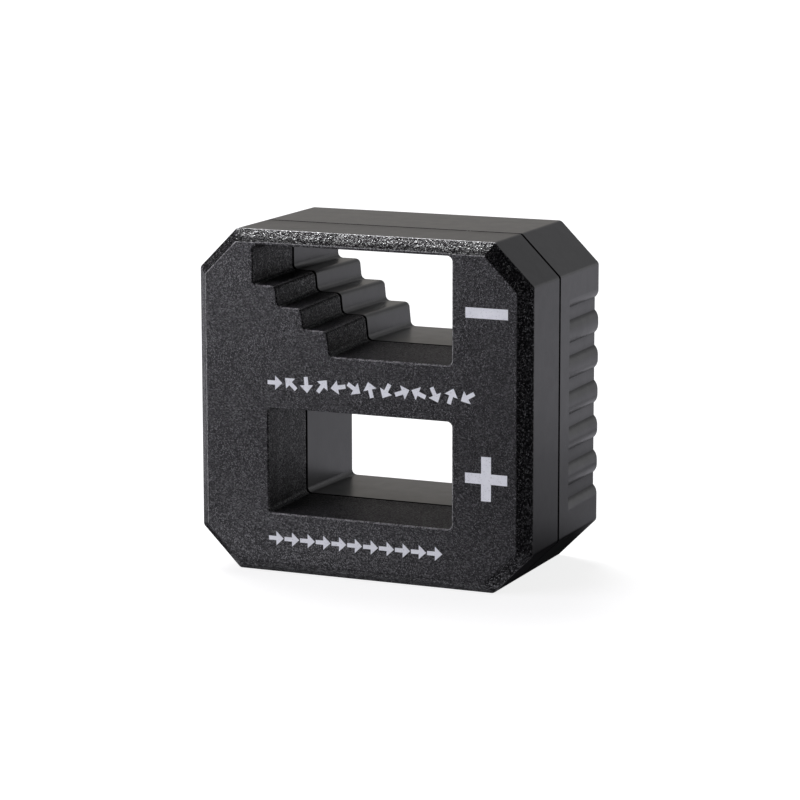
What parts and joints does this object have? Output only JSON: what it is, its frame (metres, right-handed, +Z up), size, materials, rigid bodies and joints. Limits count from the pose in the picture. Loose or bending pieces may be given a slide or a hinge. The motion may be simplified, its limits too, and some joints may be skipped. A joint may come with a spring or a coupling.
{
  "type": "screwdriver magnetiser and demagnetiser",
  "caption": "Black moulded block with a stepped window that demagnetises a screwdriver blade and a rectangular window that magnetises it.",
  "frame": {"origin": "middle of the foot, on the surface that the block stands on", "axes": "+X across the face to the side with the plus and minus signs, +Y from the face to the back, +Z up"},
  "size_m": [0.052, 0.0284, 0.0503],
  "materials": {
    "face_plastic": "coarse spark-eroded grain",
    "rear_plastic": "smooth satin",
    "ferrite": "sintered, ground faces",
    "zinc_plated_steel": "satin plated",
    "white_ink": "printed"
  },
  "bodies": {
    "root": {"front_housing": "face_plastic", "rear_housing": "rear_plastic", "left_magnet": "ferrite", "right_magnet": "ferrite", "demagnetise_magnet": "ferrite", "demagnetise_keeper": "zinc_plated_steel", "shield_plate": "zinc_plated_steel", "flux_yoke": "zinc_plated_steel", "minus_mark": "white_ink", "plus_mark": "white_ink", "magnetise_legend": "white_ink", "demagnetise_legend": "white_ink"}
  },
  "joints": []
}
